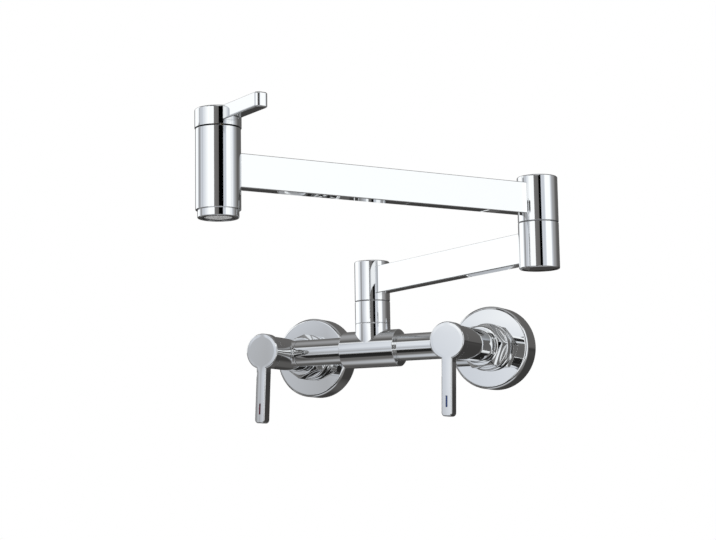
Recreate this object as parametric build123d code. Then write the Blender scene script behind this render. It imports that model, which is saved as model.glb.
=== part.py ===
from build123d import *
from math import radians, tan
import os

# Wall mounted pot filler with two inlets, two lever handles, a bridge, a folding
# double arm and a shut-off valve with its own lever over the outlet.
#
# Millimetres. The origin lies on the wall face, midway between the two inlets.
# +X is to the right as seen by the user, +Y goes into the wall and +Z is up, so
# the tap stands out of the wall towards -Y. The hot side is on the left, at -X.
# The arms lie as the product stands at rest: bent out from the wall.

# ---------------------------------------------------------------- driving sizes

# Supply pipes in the wall
inlet_spacing = 150.0
wall_thread_diameter = 20.955  # G 1/2 outside thread
wall_thread_length = 15.0
union_thread_diameter = 26.441  # G 3/4 outside thread
water_bore = 11.0

# Wall flanges, pressed from sheet
flange_diameter = 61.2
flange_depth = 16.2
flange_sheet = 1.2
flange_edge_radius = 2.1

# Union nuts that pull the valves onto the wall connectors
nut_across_flats = 30.0
nut_length = 16.7
nut_collar_diameter = 35.0
nut_collar_length = 6.0
nut_collar_edge_radius = 1.2
nut_face_diameter = 28.6  # the round face left in front by the chamfer of the corners
nut_chamfer_angle = 30.0
nut_front_wall = 2.6
nut_clearance = 0.4
hot_nut_turn = 22.0
cold_nut_turn = 5.0
union_washer_thickness = 2.0
tail_collar_diameter = 23.6
tail_collar_thickness = 2.4
tail_shank_diameter = 16.0
tail_key_across_flats = 12.0
tail_key_depth = 5.0

# Valve bodies
bridge_reach = 57.0  # wall face to the axis of the bridge
valve_body_diameter = 24.1
boss_reach = 12.7  # valve axis to the end of the side boss

# Bridge
bridge_tube_diameter = 19.8
bridge_tube_bore = 14.0
tube_spigot_diameter = 16.4
tube_spigot_length = 2.4
tube_seam = 0.4
sleeve_diameter = 27.3
sleeve_length = 44.0
sleeve_socket_depth = 10.0
tee_stub_height = 18.5
collar_height = 16.3

# Swivel hubs and arms
post_diameter = 26.0
hub_height = 29.6
slip_gap = 0.4
slip_washer_diameter = 25.2
post_end_radius = 0.9
lower_arm_length = 198.0
upper_arm_length = 226.5
lower_arm_angle = -30.3
upper_arm_angle = 238.1
arm_height = 20.0
arm_thickness = 10.0
arm_edge_radius = 0.6
arm_duct_height = 13.0
arm_duct_width = 4.6

# Swivel spindles, one in the riser and one in the elbow
bearing_diameter = 17.8
spindle_thread_diameter = 16.0
riser_thread_engagement = 9.6
elbow_thread_engagement = 8.0
spindle_port_diameter = 7.0
spindle_bore_margin = 0.5  # the blind bore runs this far past its ports
spindle_gallery_diameter = 14.4
spindle_gallery_height = 9.0
swivel_ring_groove_diameter = 14.2
swivel_ring_groove_width = 2.4
swivel_ring_section = 1.8
swivel_ring_offset = 9.8  # port height to the middle of each ring groove
retaining_washer_diameter = 21.0
retaining_washer_thickness = 1.2
retaining_screw_diameter = 6.0
retaining_screw_length = 5.0
retaining_head_diameter = 10.5
retaining_head_height = 1.4
retaining_key_across_flats = 4.0
cover_diameter = 22.0
cover_thickness = 1.4
cover_recess = 0.4

# Ceramic disc cartridge, the same in all three valves, measured from its seat
cartridge_diameter = 18.4
cartridge_bore = 15.0
cartridge_length = 35.0
cartridge_hex_across_flats = 16.0
cartridge_hex_height = 6.0
cartridge_gallery_top = 16.0
cartridge_port_height = 12.0
cartridge_window_diameter = 8.0
seat_seal_diameter = 17.0
seat_seal_thickness = 2.0
seat_web = 4.0  # metal left under the seat of each valve
disc_diameter = 14.8
disc_thickness = 3.0
disc_hole_diameter = 4.8
disc_hole_radius = 4.1
driver_width = 5.0
driver_length = 13.8
driver_thickness = 1.8
spindle_neck_diameter = 7.0
spindle_guide_diameter = 10.0
spindle_length = 44.6
spline_diameter = 8.0
spindle_ring_groove_diameter = 7.1
spindle_ring_groove_width = 1.8
spindle_ring_section = 1.3
spindle_ring_heights = (20.0, 25.0)

# Lever handles on the wall valves
handle_diameter = 26.4
handle_thickness = 7.8
handle_gap = 0.6
handle_socket_wall = 1.8
handle_hub_diameter = 13.0
lever_width = 8.1
lever_reach = 53.0  # turning axis to the tip
lever_tip_radius = 2.6
lever_edge_radius = 0.9
hot_lever_lean = 2.7  # how far each lever rests from upright, its tip to the left
cold_lever_lean = 1.4
mark_distance = 42.6  # turning axis to the middle of the colour mark
mark_length = 8.0
mark_width = 1.4
mark_depth = 0.5
set_screw_diameter = 4.0
set_screw_length = 5.5
set_screw_key_across_flats = 2.0
set_screw_key_depth = 2.0

# Outlet valve, its cap with the lever, and the aerator
outlet_body_diameter = 26.2
outlet_half_height = 23.6
outlet_cap_diameter = 27.0
outlet_cap_gap = 0.5
outlet_cap_wall = 2.4
outlet_lever_height = 8.5
outlet_lever_width = 7.8
outlet_lever_reach = 50.5
outlet_lever_angle = -28.5
aerator_thread_diameter = 22.0
aerator_thread_length = 3.4
aerator_diameter = 24.0
aerator_height = 4.6
aerator_edge_radius = 0.7
aerator_lip_thickness = 0.9
aerator_lip_bore = 18.8
insert_diameter = 20.0
insert_length = 7.0
insert_wall = 1.9
insert_floor = 1.6
insert_hole_diameter = 2.3
insert_hole_pitch = 3.2
aerator_washer_thickness = 1.5
aerator_washer_bore = 16.0

# Fits and clearances, each on one side
thread_clearance = 0.05
running_clearance = 0.1
free_clearance = 0.15
axial_play = 0.05
solder_gap = 0.03
seam_chamfer = 0.3
lead_chamfer = 1.0
cut_over = 1.0  # how far a cutting tool runs past the face it opens

# ---------------------------------------------------------------- derived places

# Distances out from the wall, along the axis of each valve
nut_back = flange_depth + nut_clearance
nut_front = nut_back + nut_length
tail_collar_front = nut_front - nut_front_wall
tail_collar_back = tail_collar_front - tail_collar_thickness
connector_front = tail_collar_back - union_washer_thickness
connector_shoulder = lead_chamfer + seam_chamfer
body_back = nut_front + nut_clearance
seat_reach = bridge_reach - cartridge_port_height
tail_end = seat_reach - seat_web
handle_socket_end = seat_reach + spindle_length + 2 * thread_clearance
handle_front = handle_socket_end + handle_socket_wall
handle_back = handle_front - handle_thickness
body_front = handle_back - handle_gap
chamber_diameter = cartridge_diameter + 2 * running_clearance
nut_corner_diameter = nut_across_flats / 0.8660254
nut_chamfer_height = (nut_corner_diameter - nut_face_diameter) / 2 * tan(radians(nut_chamfer_angle))
nut_hexagon_back = nut_back + nut_collar_length

# Heights above the bridge axis
collar_top = tee_stub_height + collar_height
lower_hub_base = collar_top + slip_gap
lower_hub_top = lower_hub_base + hub_height
upper_hub_base = lower_hub_top + slip_gap
upper_arm_middle = upper_hub_base + hub_height / 2

# Inside a bearing hub, measured from its swivel face
port_height = hub_height / 2
end_space = (cover_recess + cover_thickness + free_clearance + retaining_head_height
             + retaining_washer_thickness + axial_play)
hub_shoulder = hub_height - end_space
bearing_bore = bearing_diameter + 2 * running_clearance

# Outlet valve, measured from the middle of the upper arm
outlet_seat = -cartridge_port_height
outlet_socket_end = outlet_seat + spindle_length + 2 * thread_clearance
outlet_cap_top = outlet_socket_end + outlet_cap_wall
outlet_cap_base = outlet_half_height + outlet_cap_gap
insert_base = -outlet_half_height - aerator_height + seam_chamfer
insert_top = insert_base + insert_length
aerator_shoulder = insert_top + aerator_washer_thickness

# ---------------------------------------------------------------- places of the frames

STANDING = (Align.CENTER, Align.CENTER, Align.MIN)

# Each valve frame has its Z axis out from the wall, X to the right and Y up.
hot_frame = Plane(origin=(-inlet_spacing / 2, 0, 0), x_dir=(1, 0, 0), z_dir=(0, -1, 0)).location
cold_frame = Plane(origin=(inlet_spacing / 2, 0, 0), x_dir=(1, 0, 0), z_dir=(0, -1, 0)).location
bridge_frame = Pos(0, -bridge_reach, 0)

# Each arm frame has its X axis along the arm, away from the wall end.
lower_arm_frame = bridge_frame * Rot(0, 0, lower_arm_angle)
elbow_frame = lower_arm_frame * Pos(lower_arm_length, 0, 0) * Rot(0, 0, upper_arm_angle - lower_arm_angle)
outlet_frame = elbow_frame * Pos(upper_arm_length, 0, upper_arm_middle)

# Each swivel frame has its origin on the swivel face and Z into the bearing hub.
riser_swivel_frame = lower_arm_frame * Pos(0, 0, lower_hub_base)
elbow_swivel_frame = lower_arm_frame * Pos(lower_arm_length, 0, lower_hub_top) * Rot(180, 0, 0)


# ---------------------------------------------------------------- simple solids

def rod(diameter, start, end):
    """Solid cylinder on the local Z axis between two heights."""
    return Pos(0, 0, start) * Cylinder(diameter / 2, end - start, align=STANDING)


def ring(outer, inner, start, end):
    """Rod with a bore right through it."""
    return rod(outer, start, end) - rod(inner, start - cut_over, end + cut_over)


def side_rod(diameter, start, end, height=0.0):
    """Solid cylinder along local X between two distances, at one height."""
    return Pos(start, 0, height) * Rot(0, 90, 0) * Cylinder(diameter / 2, end - start, align=STANDING)


def hexagon(across_flats, start, end, turn=0.0):
    """Hexagonal prism on the local Z axis, a corner on X before it is turned."""
    outline = RegularPolygon(across_flats / 2, 6, major_radius=False)
    return Pos(0, 0, start) * Rot(0, 0, turn) * extrude(outline, end - start)


def torus_ring(groove_diameter, section, height):
    """Rubber ring of round section that lies on the floor of its groove."""
    return Pos(0, 0, height) * Torus(groove_diameter / 2 + section / 2 + 0.02, section / 2)


def rims(part, diameter, height):
    """Circular edges of one diameter at one height."""
    circles = part.edges().filter_by(GeomType.CIRCLE)
    return circles.filter_by(
        lambda edge: abs(edge.radius - diameter / 2) < 0.001
        and abs(edge.arc_center.Z - height) < 0.001
    )


def break_rims(part, diameter, heights, size):
    """Small chamfer on the rims of one diameter at each of the heights."""
    for height in heights:
        part = chamfer(rims(part, diameter, height), size)
    return part


# ---------------------------------------------------------------- wall connections

def wall_connector():
    """Straight brass connector: G 1/2 into the wall, G 3/4 out to the union nut."""
    body = rod(wall_thread_diameter, -wall_thread_length, connector_shoulder)
    body += rod(union_thread_diameter, connector_shoulder, connector_front)
    body = break_rims(body, wall_thread_diameter, [-wall_thread_length], lead_chamfer)
    body = break_rims(body, union_thread_diameter, [connector_front], lead_chamfer)
    return body - rod(water_bore, -wall_thread_length - cut_over, connector_front + cut_over)


def wall_flange():
    """Cup of thin sheet, open to the wall, that hides the hole round the connector."""
    cup = rod(flange_diameter, 0, flange_depth)
    cup = fillet(rims(cup, flange_diameter, flange_depth), flange_edge_radius)
    inner_diameter = flange_diameter - 2 * flange_sheet
    inner_top = flange_depth - flange_sheet
    hollow = rod(inner_diameter, -cut_over, inner_top)
    hollow = fillet(rims(hollow, inner_diameter, inner_top), flange_edge_radius - flange_sheet)
    hole = rod(union_thread_diameter + 2 * free_clearance, 0, flange_depth + cut_over)
    return cup - hollow - hole


def union_nut(turn):
    """Hexagonal union nut on a round collar, with a front wall that pulls on the tail."""
    chamfer_start = nut_front - nut_chamfer_height
    cone = Cone(nut_corner_diameter / 2, nut_face_diameter / 2, nut_chamfer_height, align=STANDING)
    blank = rod(nut_corner_diameter, nut_back, chamfer_start) + Pos(0, 0, chamfer_start) * cone
    nut = blank & hexagon(nut_across_flats, nut_hexagon_back, nut_front, turn)
    collar = rod(nut_collar_diameter, nut_back, nut_hexagon_back)
    collar = fillet(rims(collar, nut_collar_diameter, nut_hexagon_back), nut_collar_edge_radius)
    nut += break_rims(collar, nut_collar_diameter, [nut_back], seam_chamfer)
    nut -= rod(union_thread_diameter + 2 * thread_clearance, nut_back - cut_over, tail_collar_front)
    return nut - rod(tail_shank_diameter + 2 * free_clearance, nut_back, nut_front + cut_over)


def union_washer():
    """Flat rubber washer between the connector and the tail."""
    return ring(tail_collar_diameter, water_bore, connector_front, tail_collar_back)


def tail_nipple():
    """Collared tail, screwed into the valve body with a hexagonal key from behind."""
    tail = rod(tail_collar_diameter, tail_collar_back, tail_collar_front)
    tail += rod(tail_shank_diameter, tail_collar_front, tail_end)
    tail -= hexagon(tail_key_across_flats, tail_collar_back - cut_over, tail_collar_back + tail_key_depth)
    return tail - rod(water_bore, tail_collar_back - cut_over, tail_end + cut_over)


# ---------------------------------------------------------------- valves on the wall

def valve_body():
    """Turned body with its side boss towards +X, the seat inside and an open front."""
    body = rod(valve_body_diameter, body_back, body_front)
    body = break_rims(body, valve_body_diameter, [body_back, body_front], seam_chamfer)
    body += side_rod(bridge_tube_diameter, 0, boss_reach, bridge_reach)
    body -= rod(tail_shank_diameter + 2 * thread_clearance, body_back - cut_over, tail_end)
    body -= rod(water_bore, body_back, seat_reach + cut_over)
    body -= rod(chamber_diameter, seat_reach, body_front + cut_over)
    body -= side_rod(water_bore, 0, boss_reach + cut_over, bridge_reach)
    spigot_socket = tube_spigot_diameter + 2 * thread_clearance
    spigot_start = boss_reach + tube_seam - tube_spigot_length - axial_play
    return body - side_rod(spigot_socket, spigot_start, boss_reach + cut_over, bridge_reach)


def handle():
    """Round disc with a flush bar lever along +X, a hub behind and a blind socket."""
    bar = Pos(lever_reach / 2, 0) * Rectangle(lever_reach, lever_width)
    bar = fillet(bar.vertices().group_by(Axis.X)[-1], lever_tip_radius)
    outline = Circle(handle_diameter / 2) + bar
    solid = Pos(0, 0, handle_back) * extrude(outline, handle_thickness)
    solid = fillet(solid.edges().group_by(Axis.Z)[-1], lever_edge_radius)
    solid = chamfer(solid.edges().group_by(Axis.Z)[0], seam_chamfer)
    hub_end = seat_reach + cartridge_length + handle_gap
    solid += rod(handle_hub_diameter, hub_end, handle_back)
    solid -= rod(spline_diameter + 2 * thread_clearance, hub_end - cut_over, handle_socket_end)
    screw_hole = set_screw_diameter + 2 * thread_clearance
    solid -= side_rod(screw_hole, -handle_diameter / 2 - cut_over, 0, handle_screw_height())
    recess = Box(mark_length, mark_width, mark_depth, align=(Align.CENTER, Align.CENTER, Align.MAX))
    return solid - Pos(mark_distance, 0, handle_front) * recess


def handle_screw_height():
    """Distance of the set screw from the wall, halfway through the handle."""
    return (handle_back + handle_front) / 2


def colour_mark():
    """Enamel bar that fills the recess near the tip of the lever."""
    bar = Box(
        mark_length - 2 * thread_clearance,
        mark_width - 2 * thread_clearance,
        mark_depth,
        align=(Align.CENTER, Align.CENTER, Align.MAX),
    )
    return Pos(mark_distance, 0, handle_front) * bar


def set_screw(height):
    """Headless screw along -X that grips the spindle, with a hexagonal key hole."""
    inner = spline_diameter / 2 + axial_play
    screw = rod(set_screw_diameter, inner, inner + set_screw_length)
    key_start = inner + set_screw_length - set_screw_key_depth
    screw -= hexagon(set_screw_key_across_flats, key_start, key_start + set_screw_key_depth + cut_over)
    return Pos(0, 0, height) * Rot(0, -90, 0) * screw


# ---------------------------------------------------------------- ceramic disc cartridge

driver_base = seat_seal_thickness + 2 * disc_thickness + axial_play
shank_diameter = spindle_guide_diameter - running_clearance


def seat_seal():
    """Rubber ring under the fixed disc."""
    return ring(seat_seal_diameter, water_bore, 0, seat_seal_thickness)


def cartridge_housing():
    """Brass housing with side windows, a guide for the spindle and a hexagon on top."""
    hex_base = cartridge_length - cartridge_hex_height
    housing = rod(cartridge_diameter, seat_seal_thickness, hex_base)
    housing += hexagon(cartridge_hex_across_flats, hex_base, cartridge_length)
    housing -= rod(cartridge_bore, seat_seal_thickness - cut_over, cartridge_gallery_top)
    housing -= rod(spindle_guide_diameter, cartridge_gallery_top, cartridge_length + cut_over)
    half = cartridge_diameter / 2 + cut_over
    return housing - side_rod(cartridge_window_diameter, -half, half, cartridge_port_height)


def ceramic_disc(start, holes_at):
    """Lapped disc with two round ways through it, set at one angle."""
    disc = rod(disc_diameter, start, start + disc_thickness)
    for angle in (holes_at, holes_at + 180):
        hole = rod(disc_hole_diameter, start - cut_over, start + disc_thickness + cut_over)
        disc -= Rot(0, 0, angle) * Pos(disc_hole_radius, 0, 0) * hole
    return disc


def fixed_disc():
    return ceramic_disc(seat_seal_thickness, 0)


def turning_disc():
    """Stands a quarter turn from the fixed disc, so the valve is shut."""
    return ceramic_disc(seat_seal_thickness + disc_thickness + axial_play, 90)


def spindle():
    """Spindle with a driver bar on the turning disc, two ring grooves and a spline."""
    bar = Box(driver_length, driver_width, driver_thickness, align=STANDING)
    shank_start = cartridge_gallery_top - seam_chamfer
    shank_end = cartridge_length + seam_chamfer
    solid = Pos(0, 0, driver_base) * bar
    solid += rod(spindle_neck_diameter, driver_base, shank_start)
    solid += rod(shank_diameter, shank_start, shank_end)
    solid += rod(spline_diameter, shank_end, spindle_length)
    for height in spindle_ring_heights:
        low = height - spindle_ring_groove_width / 2
        solid -= ring(spindle_guide_diameter + cut_over, spindle_ring_groove_diameter,
                      low, low + spindle_ring_groove_width)
    return solid


def spindle_rings():
    """Two rubber rings in the grooves of the spindle."""
    return [torus_ring(spindle_ring_groove_diameter, spindle_ring_section, height)
            for height in spindle_ring_heights]


# ---------------------------------------------------------------- bridge and riser

def bridge_tube():
    """Tube from the tee sleeve to the side boss of a valve, along +X."""
    inner_end = sleeve_length / 2 - sleeve_socket_depth + axial_play
    outer_end = inlet_spacing / 2 - boss_reach - tube_seam
    spigot_end = outer_end + tube_spigot_length
    tube = side_rod(bridge_tube_diameter, inner_end, outer_end)
    tube += side_rod(tube_spigot_diameter, outer_end, spigot_end)
    return tube - side_rod(bridge_tube_bore, inner_end - cut_over, spigot_end + cut_over)


def bridge_tee():
    """Sleeve over both tubes with an upright stub that meets it in a saddle joint."""
    half = sleeve_length / 2
    sleeve = Rot(0, 90, 0) * break_rims(rod(sleeve_diameter, -half, half), sleeve_diameter,
                                        [-half, half], seam_chamfer)
    stub = break_rims(rod(post_diameter, 0, tee_stub_height), post_diameter,
                      [tee_stub_height], seam_chamfer)
    tee = sleeve + stub
    tee -= side_rod(bridge_tube_bore, -half - cut_over, half + cut_over)
    socket = bridge_tube_diameter + 2 * thread_clearance
    tee -= side_rod(socket, half - sleeve_socket_depth, half + cut_over)
    tee -= side_rod(socket, -half - cut_over, -half + sleeve_socket_depth)
    tee -= rod(water_bore, 0, tee_stub_height)
    thread_start = tee_stub_height - riser_thread_engagement - axial_play
    return tee - rod(spindle_thread_diameter + 2 * thread_clearance, thread_start,
                     tee_stub_height + cut_over)


def riser_collar():
    """Plain collar between the tee and the turning hub."""
    collar = ring(post_diameter, spindle_thread_diameter + 2 * free_clearance,
                  tee_stub_height, collar_top)
    return break_rims(collar, post_diameter, [tee_stub_height, collar_top], seam_chamfer)


# ---------------------------------------------------------------- swivels

def swivel_spindle(thread_length):
    """Hollow spindle: threaded below the swivel face, with a bearing above it."""
    end = hub_shoulder + axial_play
    body = rod(bearing_diameter, -slip_gap, end)
    body += rod(spindle_thread_diameter, -slip_gap - thread_length, -slip_gap)
    body -= swivel_groove(spindle_gallery_diameter, spindle_gallery_height, port_height)
    for height in swivel_ring_heights():
        body -= swivel_groove(swivel_ring_groove_diameter, swivel_ring_groove_width, height)
    bore_end = port_height + spindle_port_diameter / 2 + spindle_bore_margin
    body -= rod(water_bore, -slip_gap - thread_length - cut_over, bore_end)
    for turn in (0, 90):
        body -= Rot(0, 0, turn) * side_rod(spindle_port_diameter, -bearing_diameter,
                                           bearing_diameter, port_height)
    tapped = retaining_screw_diameter + 2 * thread_clearance
    return body - rod(tapped, end - retaining_screw_length - axial_play, end + cut_over)


def swivel_groove(floor_diameter, width, height):
    """Ring that cuts a groove round the bearing, centred on one height."""
    return ring(bearing_diameter + cut_over, floor_diameter, height - width / 2, height + width / 2)


def swivel_ring_heights():
    """Heights of the rubber rings, one below and one above the water ports."""
    upper = hub_shoulder - swivel_ring_groove_width
    return (port_height - swivel_ring_offset, min(port_height + swivel_ring_offset, upper))


def swivel_rings():
    """Two rubber rings on the bearing."""
    return [torus_ring(swivel_ring_groove_diameter, swivel_ring_section, height)
            for height in swivel_ring_heights()]


def slip_washer():
    """Thin plastic washer on which the hub turns, a shade smaller than the hub."""
    return ring(slip_washer_diameter, bearing_diameter + 2 * free_clearance, -slip_gap, -axial_play)


def retaining_washer():
    """Steel washer on the end of the spindle that holds the hub on."""
    base = hub_shoulder + axial_play
    bore = retaining_screw_diameter + 2 * free_clearance
    return ring(retaining_washer_diameter, bore, base, base + retaining_washer_thickness)


def retaining_screw():
    """Low headed screw through the retaining washer into the spindle."""
    spindle_end = hub_shoulder + axial_play
    head_base = spindle_end + retaining_washer_thickness
    screw = rod(retaining_screw_diameter, spindle_end - retaining_screw_length, head_base)
    screw += rod(retaining_head_diameter, head_base, head_base + retaining_head_height)
    return screw - hexagon(retaining_key_across_flats, head_base, head_base + 2 * retaining_head_height)


def hub_cover():
    """Round cover pressed into the end of the hub, a little below its rim."""
    top = hub_height - cover_recess
    return rod(cover_diameter, top - cover_thickness, top)


def post():
    """Round post of a hub, with a crisp rim at the swivel and a rounded outer end."""
    solid = break_rims(rod(post_diameter, 0, hub_height), post_diameter, [0], seam_chamfer)
    return fillet(rims(solid, post_diameter, hub_height), post_end_radius)


def bearing_hub(port_side):
    """Post that turns on a spindle, bored from both ends, with its duct on one side."""
    hub = post()
    hub -= rod(bearing_bore, -cut_over, hub_shoulder + cut_over)
    hub -= rod(cover_diameter + 2 * thread_clearance, hub_shoulder, hub_height + cut_over)
    return hub - duct_through_wall(port_side, port_height, post_diameter / 2)


def fixed_hub():
    """Post of the upper arm, closed on top, with a threaded socket for the spindle."""
    hub = post()
    socket_depth = elbow_thread_engagement - slip_gap + axial_play
    hub -= rod(spindle_thread_diameter + 2 * thread_clearance, -cut_over, socket_depth + slip_gap)
    hub -= rod(water_bore, -cut_over, port_height + arm_duct_height / 2)
    return hub - duct_through_wall(1, port_height, post_diameter / 2)


def duct_through_wall(port_side, height, reach):
    """Slot from the axis out through the wall, as tall and wide as the duct of the arm."""
    slot = Box(reach + cut_over, arm_duct_width, arm_duct_height, align=(Align.MIN, Align.CENTER, Align.CENTER))
    turn = 0 if port_side > 0 else 180
    return Rot(0, 0, turn) * Pos(0, 0, height) * slot


def arm_bar(length, far_diameter):
    """Flat hollow bar between two posts, its ends cut to the round of the posts."""
    bar = Box(length, arm_thickness, arm_height, align=(Align.MIN, Align.CENTER, Align.CENTER))
    bar = fillet(bar.edges().filter_by(Axis.X), arm_edge_radius)
    duct = Box(length, arm_duct_width, arm_duct_height, align=(Align.MIN, Align.CENTER, Align.CENTER))
    bar -= duct
    bar -= rod(post_diameter + 2 * solder_gap, -arm_height, arm_height)
    return bar - Pos(length, 0, 0) * rod(far_diameter + 2 * solder_gap, -arm_height, arm_height)


# ---------------------------------------------------------------- outlet

def outlet_body():
    """Upright valve body with the seat inside and a threaded spigot for the aerator."""
    body = rod(outlet_body_diameter, -outlet_half_height, outlet_half_height)
    body = break_rims(body, outlet_body_diameter, [-outlet_half_height, outlet_half_height], seam_chamfer)
    spigot_end = -outlet_half_height - aerator_thread_length
    body += rod(aerator_thread_diameter, spigot_end, -outlet_half_height)
    body -= rod(chamber_diameter, outlet_seat, outlet_half_height + cut_over)
    body -= rod(water_bore, outlet_seat - seat_web - cut_over, outlet_seat + cut_over)
    body -= rod(aerator_washer_bore, aerator_shoulder, outlet_seat - seat_web)
    body -= rod(insert_diameter + 2 * thread_clearance, spigot_end - cut_over, aerator_shoulder)
    return body - duct_through_wall(-1, 0, outlet_body_diameter / 2)


def aerator_housing():
    """Screwed ring with a thin lip that carries the insert."""
    base = -outlet_half_height - aerator_height
    housing = rod(aerator_diameter, base, -outlet_half_height)
    housing = fillet(rims(housing, aerator_diameter, base), aerator_edge_radius)
    thread_bore = aerator_thread_diameter + 2 * thread_clearance
    housing -= rod(thread_bore, base + aerator_lip_thickness, -outlet_half_height + cut_over)
    return housing - rod(aerator_lip_bore, base - cut_over, base + 2 * aerator_lip_thickness)


def aerator_insert():
    """Plastic cup with a floor of small holes that straightens the stream."""
    lip_top = -outlet_half_height - aerator_height + aerator_lip_thickness
    nose = aerator_lip_bore - 2 * thread_clearance
    insert = rod(nose, insert_base, lip_top) + rod(insert_diameter, lip_top, insert_top)
    insert -= rod(insert_diameter - 2 * insert_wall, insert_base + insert_floor, insert_top + cut_over)
    hole = rod(insert_hole_diameter, insert_base - cut_over, insert_base + insert_floor + cut_over)
    for place in HexLocations(insert_hole_pitch / 2, 5, 5, major_radius=False):
        if place.position.length < 2.2 * insert_hole_pitch:
            insert -= place * hole
    return insert


def aerator_washer():
    """Rubber washer between the insert and the shoulder in the outlet body."""
    return ring(insert_diameter, aerator_washer_bore, insert_top, aerator_shoulder)


def outlet_handle():
    """Cap over the outlet valve with a flush square bar lever along +X."""
    cap = rod(outlet_cap_diameter, outlet_cap_base, outlet_cap_top)
    bar = Pos(outlet_lever_reach / 2, 0) * Rectangle(outlet_lever_reach, outlet_lever_width)
    bar = fillet(bar.vertices().group_by(Axis.X)[-1], lever_tip_radius)
    lever_base = outlet_cap_top - outlet_lever_height
    cap += Pos(0, 0, lever_base) * extrude(bar, outlet_lever_height)
    cap = fillet(cap.edges().group_by(Axis.Z)[-1], lever_edge_radius)
    under_edges = cap.edges().filter_by_position(Axis.Z, lever_base, lever_base)
    cap = fillet(under_edges.filter_by_position(Axis.X, outlet_cap_diameter / 2, outlet_lever_reach),
                 lever_edge_radius)
    cap -= rod(spline_diameter + 2 * thread_clearance, outlet_cap_base - cut_over, outlet_socket_end)
    screw_hole = set_screw_diameter + 2 * thread_clearance
    return cap - side_rod(screw_hole, -outlet_cap_diameter / 2 - cut_over, 0, outlet_screw_height())


def outlet_screw_height():
    """Height of the set screw, halfway up the cap."""
    return (outlet_cap_base + outlet_cap_top) / 2


# ---------------------------------------------------------------- assembly

pieces = {}


def add(name, frame, *solids):
    """Place the solids of one node in the frame of the whole tap."""
    pieces[name] = [frame * solid for solid in solids]


def add_cartridge(prefix, seat_frame, handle_turn):
    """Moving half of a cartridge and the housing that holds it."""
    add(prefix + "_cartridge_housing", seat_frame, cartridge_housing())
    add(prefix + "_turning_disc", seat_frame, turning_disc())
    add(prefix + "_spindle", seat_frame, spindle())
    add(prefix + "_spindle_rings", seat_frame, *spindle_rings())


seat_place = Pos(0, 0, seat_reach)
down = Rot(0, 0, -90)
wall_valves = (
    ("hot", hot_frame, hot_nut_turn, hot_lever_lean),
    ("cold", cold_frame, cold_nut_turn, cold_lever_lean),
)

for name, frame, nut_turn, lean in wall_valves:
    add(name + "_wall_connector", frame, wall_connector())
    add(name + "_wall_flange", frame, wall_flange())
    add(name + "_union_nut", frame, union_nut(nut_turn))
    add(name + "_tail_nipple", frame, tail_nipple())
    add_cartridge(name, frame * seat_place, down)
    lever_frame = frame * down * Rot(0, 0, -lean)
    add(name + "_handle", lever_frame, handle())
    add(name + "_colour_mark", lever_frame, colour_mark())
    add(name + "_set_screw", lever_frame, set_screw(handle_screw_height()))

# Small pieces that are the same on both sides share one node.
both_sides = Pos(0, 0, 0)
add("union_washers", both_sides, hot_frame * union_washer(), cold_frame * union_washer())
add("seat_seals", both_sides, hot_frame * seat_place * seat_seal(), cold_frame * seat_place * seat_seal())
add("fixed_discs", both_sides, hot_frame * seat_place * fixed_disc(), cold_frame * seat_place * fixed_disc())

# The side bosses face each other, so the cold body mirrors the hot one.
add("hot_valve_body", hot_frame, valve_body())
add("cold_valve_body", cold_frame, mirror(valve_body(), about=Plane.YZ))
add("hot_bridge_tube", bridge_frame, mirror(bridge_tube(), about=Plane.YZ))
add("cold_bridge_tube", bridge_frame, bridge_tube())
add("bridge_tee", bridge_frame, bridge_tee())

add("riser_collar", bridge_frame, riser_collar())
riser_thread = collar_height + riser_thread_engagement
swivels = (
    ("riser", "riser_hub", riser_swivel_frame, riser_thread, 1),
    ("elbow", "elbow_lower_hub", elbow_swivel_frame, elbow_thread_engagement, -1),
)
for name, hub_name, frame, thread_length, port_side in swivels:
    add(name + "_spindle", frame, swivel_spindle(thread_length))
    add(name + "_rings", frame, *swivel_rings())
    add(name + "_slip_washer", frame, slip_washer())
    add(name + "_retaining_washer", frame, retaining_washer())
    add(name + "_retaining_screw", frame, retaining_screw())
    add(hub_name, frame, bearing_hub(port_side))
    add(name + "_hub_cover", frame, hub_cover())

add("lower_arm_bar", lower_arm_frame * Pos(0, 0, lower_hub_base + port_height),
    arm_bar(lower_arm_length, post_diameter))
add("elbow_upper_hub", elbow_frame * Pos(0, 0, upper_hub_base), fixed_hub())
add("upper_arm_bar", elbow_frame * Pos(0, 0, upper_arm_middle),
    arm_bar(upper_arm_length, outlet_body_diameter))

outlet_seat_place = outlet_frame * Pos(0, 0, outlet_seat)
add("outlet_body", outlet_frame, outlet_body())
add("outlet_seat_seal", outlet_seat_place, seat_seal())
add("outlet_fixed_disc", outlet_seat_place, fixed_disc())
add_cartridge("outlet", outlet_seat_place, Rot(0, 0, 0))
outlet_lever_frame = outlet_frame * Rot(0, 0, outlet_lever_angle - upper_arm_angle)
add("outlet_handle", outlet_lever_frame, outlet_handle())
add("outlet_set_screw", outlet_lever_frame, set_screw(outlet_screw_height()))
add("aerator_housing", outlet_frame, aerator_housing())
add("aerator_insert", outlet_frame, aerator_insert())
add("aerator_washer", outlet_frame, aerator_washer())

os.makedirs("parts", exist_ok=True)
for name, solids in pieces.items():
    shape = solids[0] if len(solids) == 1 else Compound(children=solids)
    export_step(shape, "parts/" + name + ".step")
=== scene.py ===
import bpy
import math
import numpy as np
from mathutils import Matrix, Vector


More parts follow.
